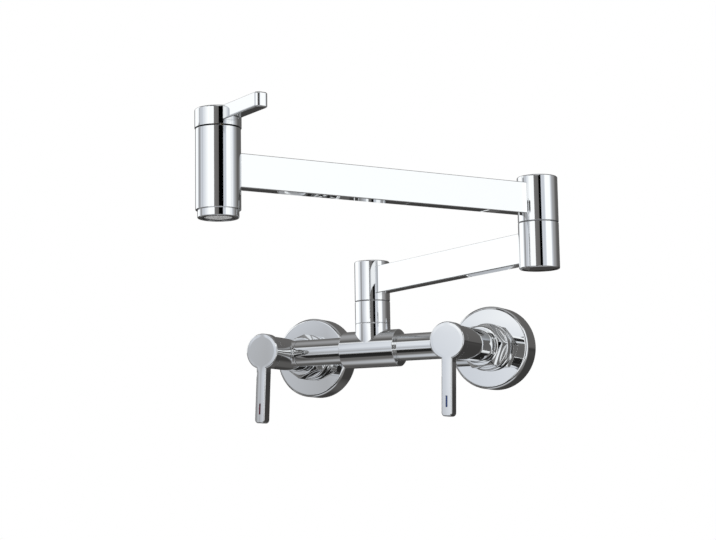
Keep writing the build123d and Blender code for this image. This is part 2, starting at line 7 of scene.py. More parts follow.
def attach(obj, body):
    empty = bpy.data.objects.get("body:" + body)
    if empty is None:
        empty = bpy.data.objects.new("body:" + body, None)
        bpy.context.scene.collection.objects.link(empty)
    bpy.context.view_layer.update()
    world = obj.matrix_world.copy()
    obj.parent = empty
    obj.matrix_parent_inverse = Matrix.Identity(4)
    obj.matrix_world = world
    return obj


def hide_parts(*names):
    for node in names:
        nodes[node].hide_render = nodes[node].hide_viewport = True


# Wall mounted pot filler. Metres, in the frame of the tap: the origin lies on the wall
# midway between the inlets, +X to the user's right, +Y into the wall, +Z up.
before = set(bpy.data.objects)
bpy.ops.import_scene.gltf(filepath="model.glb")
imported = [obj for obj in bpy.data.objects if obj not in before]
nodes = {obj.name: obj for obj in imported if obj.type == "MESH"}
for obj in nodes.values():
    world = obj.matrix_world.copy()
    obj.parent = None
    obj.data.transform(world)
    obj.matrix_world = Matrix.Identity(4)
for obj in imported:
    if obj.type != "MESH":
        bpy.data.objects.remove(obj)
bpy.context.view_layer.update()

# ---------------------------------------------------------------- the photograph's view
# The lens stands a little over a metre away, to the right and below the bridge, and looks
# up slightly. The background behind the tap is pure white.

view_azimuth = math.radians(27.48)
view_elevation = math.radians(-7.65)
view_roll = math.radians(-0.86)
view_target = Vector((0.00552, -0.09, 0.05472))
view_distance = 1.17818

view_back = Vector((
    math.sin(view_azimuth) * math.cos(view_elevation),
    -math.cos(view_azimuth) * math.cos(view_elevation),
    math.sin(view_elevation),
))
level_right = Vector((math.cos(view_azimuth), math.sin(view_azimuth), 0))
level_up = view_back.cross(level_right)
view_right = level_right * math.cos(view_roll) + level_up * math.sin(view_roll)
view_up = level_up * math.cos(view_roll) - level_right * math.sin(view_roll)

camera = bpy.data.objects.new("camera", bpy.data.cameras.new("camera"))
camera.data.sensor_width = 36
camera.data.lens = 82.053
camera_place = Matrix((view_right, view_up, view_back)).transposed().to_4x4()
camera_place.translation = view_target + view_back * view_distance
camera.matrix_world = camera_place
bpy.context.scene.collection.objects.link(camera)
bpy.context.scene.camera = camera
bpy.context.scene.view_settings.view_transform = "Standard"

# ---------------------------------------------------------------- the studio
# A white room towards the camera and a dim one behind the tap, as polished metal in the
# photograph shows. The lens sees plain white instead of it. A pale floor lies below.


def link(tree, start, end):
    """Joins an output socket to an input socket."""
    tree.links.new(start, end)


def feed(tree, operand, socket):
    """Gives a socket its value: another socket is joined to it, anything else is written."""
    if isinstance(operand, bpy.types.NodeSocket):
        link(tree, operand, socket)
    else:
        socket.default_value = operand


def math_node(tree, operation, *operands):
    """One arithmetic node; each operand is a socket or a number. Returns its result."""
    node = tree.nodes.new("ShaderNodeMath")
    node.operation = operation
    for operand, socket in zip(operands, node.inputs):
        feed(tree, operand, socket)
    return node.outputs[0]


def mix_node(tree, factor, first, second):
    """Colour that goes from first to second with the factor."""
    node = tree.nodes.new("ShaderNodeMix")
    node.data_type = "RGBA"
    for operand, place in ((factor, 0), (first, 6), (second, 7)):
        feed(tree, operand, node.inputs[place])
    return node.outputs[2]


tint_levels = (0.15, 0.45, 0.75, 1.15)
tint_colours = (
    (1.01, 0.98, 0.96), (0.965, 0.98, 1.01), (0.935, 0.98, 1.06), (0.985, 1.0, 1.01),
)


def shade(level):
    """Colour of a studio wall of one level, or an array of them: the level times a tint that
    runs in straight lines between the four tints, nearly neutral in black and in white."""
    level = np.asarray(level, dtype=float)
    tints = [np.interp(level, tint_levels, channel) for channel in zip(*tint_colours)]
    return np.stack([level * tint for tint in tints] + [np.ones_like(level)], axis=-1)


def ramp_node(tree, factor, stops, low, high, colour_of=shade):
    """Ramp over stops of (place, level), with the places on a scale from low to high."""
    node = tree.nodes.new("ShaderNodeValToRGB")
    elements = node.color_ramp.elements
    while len(elements) > 1:
        elements.remove(elements[-1])
    for number, (place, level) in enumerate(stops):
        position = (place - low) / (high - low)
        element = elements[0] if number == 0 else elements.new(position)
        element.position = position
        element.color = colour_of(level)
    link(tree, factor, node.inputs[0])
    return node.outputs[0]


def plain(level):
    """Grey of one level, for ramps that blend."""
    return (level, level, level, 1.0)


world = bpy.data.worlds.new("studio")
bpy.context.scene.world = world
world.use_nodes = True
room = world.node_tree
room.nodes.clear()

# Heading and height of the direction that is looked in, both brought to 0 to 1.
direction = room.nodes.new("ShaderNodeTexCoord").outputs["Generated"]
parts = room.nodes.new("ShaderNodeSeparateXYZ")
link(room, direction, parts.inputs[0])
heading = math_node(room, "ARCTAN2", parts.outputs[0], parts.outputs[1])
heading = math_node(room, "MULTIPLY_ADD", heading, 0.5 / math.pi, 0.5)
height = math_node(room, "ARCSINE", parts.outputs[2])
height = math_node(room, "MULTIPLY_ADD", height, 1 / math.pi, 0.5)

# Level of the room at eye height against heading in degrees: 0 looks into the wall, 90 to
# the right, 180 back to the camera.
round_room = [
    (-180, 1.2), (-150, 1.2), (-142, 1.05), (-121, 0.92), (-112, 0.92), (-106, 1.15), (-98, 1.25),
    (-70, 1.25), (-58, 0.55), (-46, 0.16), (-10, 0.12), (16, 0.10), (28, 0.11), (40, 0.16),
    (55, 0.30), (66, 0.42), (75, 0.75), (83, 1.2), (120, 1.25), (180, 1.2),
]
# Level above and below the white walls, against height in degrees.
up_and_down = [
    (-90, 0.5), (-65, 0.66), (-61, 0.42), (-57, 0.18), (-51, 0.15), (-46, 0.16), (-38, 0.24),
    (-22, 0.28), (0, 0.3), (38, 0.16), (45, 0.11), (50, 0.19), (56, 0.29),
    (62, 0.40), (90, 0.45),
]
# Level behind the tap, against height in degrees.
behind_levels = [
    (-90, 0.4), (-62, 0.30), (-52, 0.10), (-29, 0.11), (-24, 0.05), (-8, 0.055), (-2, 0.065),
    (1, 0.05), (2.2, 0.055), (3.4, 0.12), (30, 0.14), (60, 0.24), (90, 0.4),
]
# Where the white walls stand, against height, and which side is the camera's, against
# heading.
wall_band = [(-22, 0), (-16, 1), (34, 1), (41, 0)]
towards_camera = [(-90, 1), (-66, 1), (-40, 0), (45, 0), (66, 1), (180, 1)]

eye_level = ramp_node(room, heading, round_room, -180, 180)
other_level = ramp_node(room, height, up_and_down, -90, 90)
band = ramp_node(room, height, wall_band, -90, 90, plain)
front = mix_node(room, band, other_level, eye_level)
behind = ramp_node(room, height, behind_levels, -90, 90)
nearer = ramp_node(room, heading, towards_camera, -180, 180, plain)
room_level = mix_node(room, nearer, behind, front)

seen_directly = room.nodes.new("ShaderNodeLightPath").outputs["Is Camera Ray"]
room_colour = mix_node(room, seen_directly, room_level, (1, 1, 1, 1))
background = room.nodes.new("ShaderNodeBackground")
link(room, room_colour, background.inputs["Color"])
world_output = room.nodes.new("ShaderNodeOutputWorld")
link(room, background.outputs[0], world_output.inputs[0])

glow_paint = bpy.data.materials.new("studio_screen")
glow_paint.use_nodes = True
tree = glow_paint.node_tree
tree.nodes.clear()
screen_colour = tree.nodes.new("ShaderNodeAttribute")
screen_colour.attribute_name = "screen_colour"
glow = tree.nodes.new("ShaderNodeEmission")
link(tree, screen_colour.outputs["Color"], glow.inputs["Color"])
link(tree, glow.outputs[0], tree.nodes.new("ShaderNodeOutputMaterial").inputs[0])


def folding_screen(name, stands, rows):
    """Upright folding screen on the floor line through stands of (x, y, level), one row of
    points for each (z, factor): a point's level is its stand's times its row's factor. Only
    polished metal shows it."""
    stand = np.array(stands)
    row = np.array(rows)
    columns = len(stand)
    points = np.empty((len(row), columns, 3))
    points[:, :, :2] = stand[None, :, :2]
    points[:, :, 2] = row[:, None, 0]
    levels = row[:, None, 1] * stand[None, :, 2]
    corner = (np.arange(len(row) - 1)[:, None] * columns + np.arange(columns - 1)).reshape(-1, 1)
    faces = corner + np.array([[0, 1, columns + 1, columns]])
    mesh = bpy.data.meshes.new(name)
    mesh.from_pydata(points.reshape(-1, 3).tolist(), [], faces.tolist())
    colours = mesh.attributes.new("screen_colour", "FLOAT_COLOR", "POINT")
    colours.data.foreach_set("color", shade(levels).ravel())
    mesh.materials.append(glow_paint)
    screen = bpy.data.objects.new(name, mesh)
    bpy.context.scene.collection.objects.link(screen)
    screen.visible_camera = False
    screen.visible_diffuse = False
    screen.visible_shadow = False
    screen.visible_transmission = False


# A folding screen of many greys stands to the left, with a white panel high beside it. Dark
# panels lie below and to the left, for the undersides, and high and low in front, for the
# nuts and necks. The lens stands in a black gap between a grey and a pale panel, and
# another screen darkens from the right towards the wall.
even_rows = [(-0.30, 1), (0.55, 1)]
folding_screen("left_screen", [
    (-0.57, -0.34, 1.05), (-0.565, -0.42, 0.60), (-0.52, -0.53, 0.27), (-0.50, -0.60, 0.58),
    (-0.54, -0.73, 0.74), (-0.47, -0.765, 0.58), (-0.443, -0.777, 0.72), (-0.405, -0.7945, 0.80),
    (-0.36, -0.815, 0.84), (-0.30, -0.845, 0.90), (-0.26, -0.865, 0.98),
    (-0.22, -0.875, 1.03), (-0.15, -0.89, 1.12), (-0.06, -0.905, 1.22),
], [
    (-0.30, 0.8), (-0.24, 0.92), (-0.19, 0.8), (-0.14, 0.58), (-0.05, 0.72), (0.02, 0.86),
    (0.06, 0.88), (0.085, 0.92), (0.115, 1.08), (0.16, 1.05), (0.20, 1.06), (0.55, 1.06),
])
folding_screen("high_left_panel", [
    (-0.56, -0.30, 1.2), (-0.56, -0.43, 1.2), (-0.515, -0.54, 0.9),
], [(0.24, 1), (0.55, 1)])
folding_screen("low_panel", [(-0.58, -0.45, 1), (-0.12, -0.45, 1)], [
    (-0.50, 0.07), (-0.44, 0.03), (-0.30, 0.02), (-0.195, 0.02),
])
folding_screen("low_left_panel", [(-0.60, -0.34, 1), (-0.60, 0.10, 1)], [
    (-0.30, 0.06), (0.03, 0.06),
])
folding_screen("high_front_panel", [(-0.22, -0.85, 1), (0.19, -1.02, 1)], [
    (0.33, 0.03), (1.2, 0.03),
])
folding_screen("low_front_panel", [(-0.30, -0.80, 1), (0.35, -1.05, 1)], [
    (-1.0, 0.02), (-0.32, 0.02),
])
folding_screen("black_gap", [(0.687, -0.7465, 0), (0.908, -1.573, 0)], [(-0.30, 1), (0.6, 1)])
folding_screen("grey_panel", [
    (0.195, -1.04, 0.21), (0.40, -1.193, 0.18), (0.908, -1.573, 0.15),
], [(-0.35, 1), (0.6, 1)])
folding_screen("pale_panel", [
    (0.687, -0.7465, 0.70), (0.80, -0.69, 0.76), (0.93, -0.69, 0.71), (1.07, -0.695, 0.79),
    (1.30, -0.71, 0.94),
], even_rows)
folding_screen("right_screen", [
    (1.19, -0.09, 1.3), (0.75, -0.022, 0.71), (0.61, 0.02, 0.42), (0.75, 0.25, 0.35),
    (0.80, 0.42, 0.23), (0.80, 0.70, 0.125), (0.70, 0.90, 0.12),
], even_rows)


def soft_lamp(name, place, aim, size, power):
    """Square lamp that lights dull surfaces and that polished metal doesn't show."""
    lamp = bpy.data.lights.new(name, "AREA")
    lamp.size = size
    lamp.energy = power
    stand = bpy.data.objects.new(name, lamp)
    stand.location = place
    stand.rotation_euler = (Vector(aim) - Vector(place)).to_track_quat("-Z", "Y").to_euler()
    stand.visible_camera = False
    stand.visible_glossy = False
    bpy.context.scene.collection.objects.link(stand)


soft_lamp("lamp_above", (0.0, -0.3, 2.0), (0.0, -0.3, 0.0), size=4.0, power=55)
soft_lamp("lamp_in_front", (0.3, -2.6, 0.8), (0.0, -0.2, 0.05), size=2.5, power=22)

floor_level = -0.5
floor_side = 1.5
floor_front = -1.8
floor_back = 1.2
floor_mesh = bpy.data.meshes.new("floor")
floor_mesh.from_pydata([
    (-floor_side, floor_front, floor_level), (floor_side, floor_front, floor_level),
    (floor_side, floor_back, floor_level), (-floor_side, floor_back, floor_level),
], [], [(0, 1, 2, 3)])
floor = bpy.data.objects.new("floor", floor_mesh)
bpy.context.scene.collection.objects.link(floor)
floor.visible_glossy = False
floor_paint = bpy.data.materials.new("pale_floor")
floor_paint.use_nodes = True
floor_surface = floor_paint.node_tree.nodes["Principled BSDF"].inputs
floor_surface["Base Color"].default_value = (0.85, 0.85, 0.85, 1)
floor_mesh.materials.append(floor_paint)

# ---------------------------------------------------------------- arms, bridge and bodies
# Turned and drawn brass, polished by hand on a wheel, then plated with nickel and bright
# chrome. The plate keeps the faint ripple of the polishing, rounds every edge a little and
# shows hairlines and a trace of handling.


def new_group(name, inputs, outputs):
    """Empty shader node group with (name, kind) sockets; gives the tree and its two ends."""
    group = bpy.data.node_groups.new(name, "ShaderNodeTree")
    for way, sockets in (("INPUT", inputs), ("OUTPUT", outputs)):
        for label, kind in sockets:
            group.interface.new_socket(name=label, in_out=way, socket_type=kind)
    start = group.nodes.new("NodeGroupInput").outputs
    end = group.nodes.new("NodeGroupOutput").inputs
    return group, start, end


def place_group(tree, group, **values):
    """Puts a group into a material and gives its inputs their values by name."""
    node = tree.nodes.new("ShaderNodeGroup")
    node.node_tree = group
    for label, value in values.items():
        feed(tree, value, node.inputs[label])
    return node.outputs


def vector_node(tree, operation, *operands):
    """One vector node; gives the socket that its operation fills."""
    node = tree.nodes.new("ShaderNodeVectorMath")
    node.operation = operation
    for operand, socket in zip(operands, node.inputs):
        feed(tree, operand, socket)
    return node.outputs["Value" if operation in ("DOT_PRODUCT", "LENGTH") else "Vector"]


def noise_node(tree, place, scale, detail=2.0, roughness=0.5):
    """Noise from 0 to 1 with the scale in waves per metre."""
    node = tree.nodes.new("ShaderNodeTexNoise")
    feed(tree, place, node.inputs["Vector"])
    feed(tree, scale, node.inputs["Scale"])
    node.inputs["Detail"].default_value = detail
    node.inputs["Roughness"].default_value = roughness
    return node.outputs[0]


def rescale(tree, value, start, end, low, high):
    """Maps start..end onto low..high in a straight line, held at both ends."""
    node = tree.nodes.new("ShaderNodeMapRange")
    for operand, socket in zip((value, start, end, low, high), node.inputs):
        feed(tree, operand, socket)
    return node.outputs[0]


# Rounded edges: the normal of the rounded edge, and a mask that is 1 where it leaves the flat face.
# The mask marks real wear on bare metal and plastics, and a painted highlight along the edges of
# chrome.
edges_group, start, end = new_group(
    "rounded_edges", [("Radius", "NodeSocketFloat")],
    [("Normal", "NodeSocketVector"), ("Mask", "NodeSocketFloat")])
rounded = edges_group.nodes.new("ShaderNodeBevel")
rounded.samples = 6
link(edges_group, start["Radius"], rounded.inputs["Radius"])
flat_normal = edges_group.nodes.new("ShaderNodeNewGeometry").outputs["Normal"]
agreement = vector_node(edges_group, "DOT_PRODUCT", rounded.outputs[0], flat_normal)
link(edges_group, rounded.outputs[0], end["Normal"])
link(edges_group, rescale(edges_group, agreement, 0.995, 0.80, 0.0, 1.0), end["Mask"])

# Polishing: a slow ripple, fine hairlines in one direction, and smears of handling.
polish_group, start, end = new_group(
    "wheel_polish",
    [("Place", "NodeSocketVector"), ("Ripple", "NodeSocketFloat"), ("Hairline", "NodeSocketFloat")],
    [("Height", "NodeSocketFloat"), ("Smear", "NodeSocketFloat")])
ripple = noise_node(polish_group, start["Place"], 55, 1.0)
along = vector_node(polish_group, "MULTIPLY", start["Place"], (0.06, 0.06, 1.0))
hairline = noise_node(polish_group, along, 5200, 2.0, 0.6)
hairline = rescale(polish_group, hairline, 0.62, 0.78, 0.0, 1.0)
heights = math_node(
    polish_group, "ADD",
    math_node(polish_group, "MULTIPLY", ripple, start["Ripple"]),
    math_node(polish_group, "MULTIPLY", hairline, start["Hairline"]))
link(polish_group, heights, end["Height"])
smear = noise_node(polish_group, start["Place"], 38, 5.0, 0.62)
link(polish_group, rescale(polish_group, smear, 0.45, 0.75, 0.0, 1.0), end["Smear"])


def new_material(name):
    """Material with its tree, its Principled shader and the Object coordinates."""
    material = bpy.data.materials.new(name)
    material.use_nodes = True
    tree = material.node_tree
    place = tree.nodes.new("ShaderNodeTexCoord").outputs["Object"]
    return material, tree, tree.nodes["Principled BSDF"].inputs, place


def bump_node(tree, height, depth, normal=None):
    """Normal of a relief whose height of 1 stands for depth in metres."""
    node = tree.nodes.new("ShaderNodeBump")
    node.inputs["Distance"].default_value = depth
    link(tree, height, node.inputs["Height"])
    if normal is not None:
        link(tree, normal, node.inputs["Normal"])
    return node.outputs[0]


chrome_tint = (0.815, 0.825, 0.83, 1)
# Paler chrome colour along the edges: a painted highlight.
chrome_edge_painted_highlight = (0.87, 0.875, 0.88, 1)
plate_roughness = 0.016
edge_roughness = 0.03  # added at worn edges
smear_roughness = 0.025  # added where hands have smeared the plate
micrometre = 1e-6


def chrome_material(name, ripple=2.0, edge=0.00022, extra_height=None):
    """Bright plate on brass. extra_height(tree, place) adds a relief in micrometres."""
    material, tree, surface, place = new_material(name)
    edges = place_group(tree, edges_group, Radius=edge)
    polish = place_group(tree, polish_group, Place=place, Ripple=ripple, Hairline=0.12)
    relief = polish["Height"]
    if extra_height is not None:
        relief = math_node(tree, "ADD", relief, extra_height(tree, place))
    link(tree, bump_node(tree, relief, micrometre, edges["Normal"]), surface["Normal"])
    # Painted highlight: the base colour turns paler along the rounded edges.
    link(tree, mix_node(tree, edges["Mask"], chrome_tint, chrome_edge_painted_highlight), surface["Base Color"])
    worn = math_node(tree, "MULTIPLY_ADD", edges["Mask"], edge_roughness, plate_roughness)
    handled = math_node(tree, "MULTIPLY_ADD", polish["Smear"], smear_roughness, worn)
    link(tree, handled, surface["Roughness"])
    surface["Metallic"].default_value = 1.0
    return material


def dress(name, material):
    """Gives a node of the solid model its material in every slot."""
    for material_slot in nodes[name].material_slots:
        material_slot.material = material


chrome = chrome_material("polished_chrome")
for name in (
    "hot_wall_flange", "cold_wall_flange", "riser_collar", "riser_hub_cover", "lower_arm_bar",
    "elbow_hub_cover", "elbow_upper_hub", "upper_arm_bar", "outlet_body", "outlet_handle",
    "aerator_housing",
):
    dress(name, chrome)

# The bores of the two hubs that turn are made dull, as the plate hardly reaches into them, and are
# painted dark as shade behind the rims of their covers.
hub_bore_radius = 0.0111
hub_bore_fade = 0.0002
# Near-black colour painted in the bores as shade.
painted_bore_shade = (0.075, 0.070, 0.062, 1)
bore_roughness = 0.35  # added to that of the plate
riser_axis = (0, -0.057, 0)
elbow_axis = (0.17095, -0.15690, 0)

bore_group, start, end = new_group(
    "hub_bore", [("Place", "NodeSocketVector"), ("Axis", "NodeSocketVector")],
    [("Inside", "NodeSocketFloat")])
offset = vector_node(bore_group, "SUBTRACT", start["Place"], start["Axis"])
level_offset = vector_node(bore_group, "MULTIPLY", offset, (1, 1, 0))
distance = vector_node(bore_group, "LENGTH", level_offset)
bore_end = hub_bore_radius + hub_bore_fade
inside = rescale(bore_group, distance, hub_bore_radius, bore_end, 1.0, 0.0)
link(bore_group, inside, end["Inside"])

for name, hub_axis in (("riser_hub", riser_axis), ("elbow_lower_hub", elbow_axis)):
    hub_chrome = chrome_material(name + "_chrome")
    tree = hub_chrome.node_tree
    surface = tree.nodes["Principled BSDF"].inputs
    place = tree.nodes.new("ShaderNodeTexCoord").outputs["Object"]
    inside = place_group(tree, bore_group, Place=place, Axis=hub_axis)["Inside"]
    plated = surface["Base Color"].links[0].from_socket
    smooth = surface["Roughness"].links[0].from_socket
    # Painted shade: the bores take a near-black colour in place of the plate's.
    link(tree, mix_node(tree, inside, plated, painted_bore_shade), surface["Base Color"])
    dulled = math_node(tree, "MULTIPLY_ADD", inside, bore_roughness, smooth)
    link(tree, dulled, surface["Roughness"])
    dress(name, hub_chrome)

soft_edged_chrome = chrome_material("bridge_chrome", edge=0.0006)
for name in (
    "hot_valve_body", "cold_valve_body", "hot_bridge_tube", "cold_bridge_tube", "bridge_tee",
):
    dress(name, soft_edged_chrome)

# ---------------------------------------------------------------- lever handles
# Forged brass disc and bar in one, chromed. The bar is crowned a little across its width
# by the polishing wheel. A bar of fired enamel fills a shallow recess near its tip.

disc_radius = 0.0132
hot_axis = -0.075
cold_axis = 0.075
hot_lean = math.radians(2.7)
cold_lean = math.radians(1.4)
lever_half_width = 0.00405
# How far the edge of the bar lies behind its middle, in micrometres.
hot_crown = 320.0
cold_crown = 140.0


# Relief of a lever: minus the crown times the square of the share of the half width,
# measured across the bar and held at its two edges, and fading out on the disc.
crown_group, start, end = new_group(
    "crowned_bar",
    [("Place", "NodeSocketVector"), ("Axis", "NodeSocketVector"), ("Across", "NodeSocketVector"),
     ("Crown", "NodeSocketFloat")],
    [("Height", "NodeSocketFloat")])
offset = vector_node(crown_group, "SUBTRACT", start["Place"], start["Axis"])
across = vector_node(crown_group, "DOT_PRODUCT", offset, start["Across"])
share = math_node(crown_group, "DIVIDE", across, lever_half_width)
share = rescale(crown_group, share, -1.0, 1.0, -1.0, 1.0)
squared = math_node(crown_group, "MULTIPLY", share, share)
flat_offset = vector_node(crown_group, "MULTIPLY", offset, (1, 0, 1))
distance = vector_node(crown_group, "LENGTH", flat_offset)
fall = math_node(crown_group, "MULTIPLY", start["Crown"], -1.0)
on_bar = rescale(crown_group, distance, disc_radius * 0.8, disc_radius * 1.2, 0.0, fall)
link(crown_group, math_node(crown_group, "MULTIPLY", squared, on_bar), end["Height"])


def crowned_bar(axis, lean, crown):
    """Relief for a lever's chrome: its crown lies across the bar, which leans by lean."""
    across = (math.cos(lean), 0, -math.sin(lean))

    def relief(tree, place):
        bar = place_group(
            tree, crown_group, Place=place, Axis=(axis, 0, 0), Across=across, Crown=crown)
        return bar["Height"]

    return relief


for side, axis, lean, crown in (
    ("hot", hot_axis, hot_lean, hot_crown), ("cold", cold_axis, cold_lean, cold_crown),
):
    lever_relief = crowned_bar(axis, lean, crown)
    dress(side + "_handle", chrome_material(side + "_lever_chrome", extra_height=lever_relief))


# Fired enamel: clouds where it pooled, and the orange peel of its skin.
enamel_group, start, end = new_group(
    "fired_enamel", [("Place", "NodeSocketVector")],
    [("Cloud", "NodeSocketFloat"), ("Peel", "NodeSocketFloat")])
pools = noise_node(enamel_group, start["Place"], 900, 3.0)
link(enamel_group, rescale(enamel_group, pools, 0.35, 0.65, 0.0, 1.0), end["Cloud"])
link(enamel_group, noise_node(enamel_group, start["Place"], 1400, 1.0), end["Peel"])


def enamel_material(name, colour, pooled):
    """Glass enamel, darker where it is thick, under a glossy skin with a slight orange peel."""
    material, tree, surface, place = new_material(name)
    fired = place_group(tree, enamel_group, Place=place)
    link(tree, mix_node(tree, fired["Cloud"], colour, pooled), surface["Base Color"])
    link(tree, bump_node(tree, fired["Peel"], 6 * micrometre), surface["Normal"])
    link(tree, rescale(tree, fired["Cloud"], 0.0, 1.0, 0.16, 0.24), surface["Roughness"])
    surface["Coat Weight"].default_value = 0.25
    surface["Coat Roughness"].default_value = 0.05
    return material


red = (0.085, 0.008, 0.022, 1)
deep_red = (0.04, 0.004, 0.012, 1)
blue = (0.008, 0.035, 0.14, 1)
deep_blue = (0.004, 0.018, 0.08, 1)
dress("hot_colour_mark", enamel_material("red_enamel", red, deep_red))
dress("cold_colour_mark", enamel_material("blue_enamel", blue, deep_blue))

# ---------------------------------------------------------------- union nuts
# Hexagon of 30 mm across the flats on a round collar, machined from bar, with crowned and
# polished flats and a turned chamfer on the corners. It screws onto the wall connector.


def outward(points):
    """The same grid with its columns turned round if its faces would point inwards, which
    the sign of the volume shows: a sixth of the sum of a times b cross c over the faces."""
    a = points
    b = np.roll(points, -1, axis=1)
    c = np.roll(b, -1, axis=0)
    d = np.roll(points, -1, axis=0)
    volume = np.sum(a * np.cross(b, c)) + np.sum(a * np.cross(c, d))
    return points if volume > 0 else points[:, ::-1]


def ring_mesh(name, points):
    """Mesh over points[row, column] that closes on itself both ways, like a ring."""
    points = outward(points)
    rows, columns = points.shape[:2]
    row = np.arange(rows)[:, None]
    column = np.arange(columns)[None, :]
    next_row = (row + 1) % rows
    next_column = (column + 1) % columns
    faces = np.stack([
        row * columns + column, row * columns + next_column,
        next_row * columns + next_column, next_row * columns + column,
    ], axis=-1).reshape(-1, 4)
    mesh = bpy.data.meshes.new(name)
    mesh.from_pydata(points.reshape(-1, 3).tolist(), [], faces.tolist())
    mesh.shade_smooth()
    mesh.set_sharp_from_angle(angle=math.radians(32))
    return mesh


def round_corners(corners, radii, steps=5):
    """Open line of corners in the (distance, radius) plane with each corner, apart from the
    first and last, replaced by an arc. The arc touches both sides at its radius over the
    tangent of half the corner's angle, and its points go round its centre by equal turns."""
    corner = np.array(corners)[1:-1]
    back = np.array(corners)[:-2] - corner
    on = np.array(corners)[2:] - corner
    back /= np.linalg.norm(back, axis=1, keepdims=True)
    on /= np.linalg.norm(on, axis=1, keepdims=True)
    half_angle = np.arccos(np.sum(back * on, axis=1, keepdims=True)) / 2
    size = np.array(radii)[:, None]
    middle = (back + on) / np.linalg.norm(back + on, axis=1, keepdims=True)
    centre = corner + middle * size / np.sin(half_angle)
    first = corner + back * size / np.tan(half_angle) - centre
    last = corner + on * size / np.tan(half_angle) - centre
    turn = (np.pi - 2 * half_angle)[:, None]
    share = np.linspace(0, 1, steps)[None, :, None]
    arc = np.sin((1 - share) * turn) * first[:, None] + np.sin(share * turn) * last[:, None]
    arc = (centre[:, None] + arc / np.sin(turn)).reshape(-1, 2)
    return np.concatenate([np.array(corners)[:1], arc, np.array(corners)[-1:]])


def full_turn(columns):
    """Angles at equal steps round an axis, as one row of a grid."""
    return np.linspace(0, 2 * np.pi, columns, endpoint=False)[None, :]


def round_wall_axis(axis, distance, radius, angle):
    """Points round a valve's axis: x = axis + r cos a, y = -distance, z = r sin a."""
    x = axis + radius * np.cos(angle)
    z = radius * np.sin(angle)
    return np.stack(np.broadcast_arrays(x, -distance, z), axis=-1)


nut_front = 0.0333
nut_hexagon_back = 0.0226
nut_back = 0.0166
nut_flat = 0.0150
nut_face_radius = 0.0143
nut_collar_radius = 0.0175
nut_collar_round = 0.0012
nut_bore = 0.00815
nut_thread_radius = 0.01327
nut_wall_back = 0.0307
nut_crown = 0.00005
nut_corner_power = 170
nut_chamfer_angle = math.radians(30)
nut_chamfer_share = 0.3  # of the hexagon's length, where the rows lie closer
nut_columns = 624
nut_chamfer_rows = 20
nut_flat_rows = 28
nut_edge_rows = 7
hot_nut_corner = math.radians(22.0)  # turn of a corner from level, as each was tightened
cold_nut_corner = math.radians(5.0)
broken_edge = 0.0003
small_break = 0.0002
fine_break = 0.0001


def nut_outline(distance, angle, corner_angle):
    """Radius of the hexagon: the soft least of six flats and the chamfer's cone. Each flat
    allows its height over the cosine to it, the cone allows the face's radius plus 1.73
    times the way back from the front, and they are joined by a power mean. A flat is
    highest halfway along the hexagon and falls by the crown to both its ends."""
    length = nut_front - nut_hexagon_back
    share = 2 * (distance - nut_hexagon_back) / length - 1
    flat = nut_flat - nut_crown * share**2
    normals = corner_angle + math.radians(30) + np.arange(6) * math.radians(60)
    toward = np.clip(np.cos(angle[..., None] - normals), 0.0001, 1)
    total = np.sum((toward * nut_face_radius / flat[..., None])**nut_corner_power, axis=-1)
    cone = nut_face_radius + (nut_front - distance) / math.tan(nut_chamfer_angle)
    total = total + (nut_face_radius / cone)**nut_corner_power
    return nut_face_radius / total**(1 / nut_corner_power)


def union_nut_mesh(name, axis, corner_angle):
    """Closed grid round the valve's axis: the hexagon from front to back, the round edge of
    the collar from where the corners stand on it, the collar's back, the thread's bore and
    the hole in the front wall."""
    angle = full_turn(nut_columns)
    chamfer_rows = np.linspace(0, nut_chamfer_share, nut_chamfer_rows)[:-1]
    flat_rows = np.linspace(nut_chamfer_share, 1, nut_flat_rows)
    rows = np.concatenate([chamfer_rows, flat_rows])[:, None]
    distance = nut_front + (nut_hexagon_back - nut_front) * rows + 0 * angle
    radius = nut_outline(distance, angle + 0 * rows, corner_angle)
    shoulder = nut_collar_radius - nut_collar_round
    start_share = np.clip((radius[-1:] - shoulder) / nut_collar_round, 0, 1)
    turn = np.arcsin(start_share)
    turn = turn + (np.pi / 2 - turn) * np.linspace(0, 1, nut_edge_rows)[:, None]
    edge_radius = shoulder + nut_collar_round * np.sin(turn)
    edge_distance = nut_hexagon_back - nut_collar_round * (1 - np.cos(turn))
    inside = round_corners([
        (nut_hexagon_back - nut_collar_round - 0.0005, nut_collar_radius),
        (nut_back, nut_collar_radius), (nut_back, nut_thread_radius),
        (nut_wall_back, nut_thread_radius), (nut_wall_back, nut_bore),
        (nut_front, nut_bore), (nut_front, nut_face_radius - 0.001),
    ], [broken_edge, broken_edge, small_break, small_break, broken_edge])
    distance = np.concatenate([distance, edge_distance, inside[:, :1] + 0 * angle])
    radius = np.concatenate([radius, edge_radius, inside[:, 1:] + 0 * angle])
    return ring_mesh(name, round_wall_axis(axis, distance, radius, angle))


nut_chrome = chrome_material("nut_chrome", ripple=1.0, edge=0.0003)


def add_piece(name, mesh, material, body):
    """Puts a new mesh into the scene, on a body, with the finish of one slot."""
    mesh.materials.append(material)
    piece = bpy.data.objects.new(name, mesh)
    bpy.context.scene.collection.objects.link(piece)
    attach(piece, body)
    return piece


for side, axis, corner_angle in (
    ("hot", hot_axis, hot_nut_corner), ("cold", cold_axis, cold_nut_corner),
):
    name = side + "_hexagon_nut"
    nut_mesh = union_nut_mesh(name, axis, corner_angle)
    nut = add_piece(name, nut_mesh, nut_chrome, "wall_body")
    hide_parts(side + "_union_nut")

# ---------------------------------------------------------------- wall connectors and tails
# Free-cutting brass, turned from bar and left bare: pipe thread into the wall, a larger
# pipe thread out to the nut. The tools leave fine rings, and the metal tarnishes between.

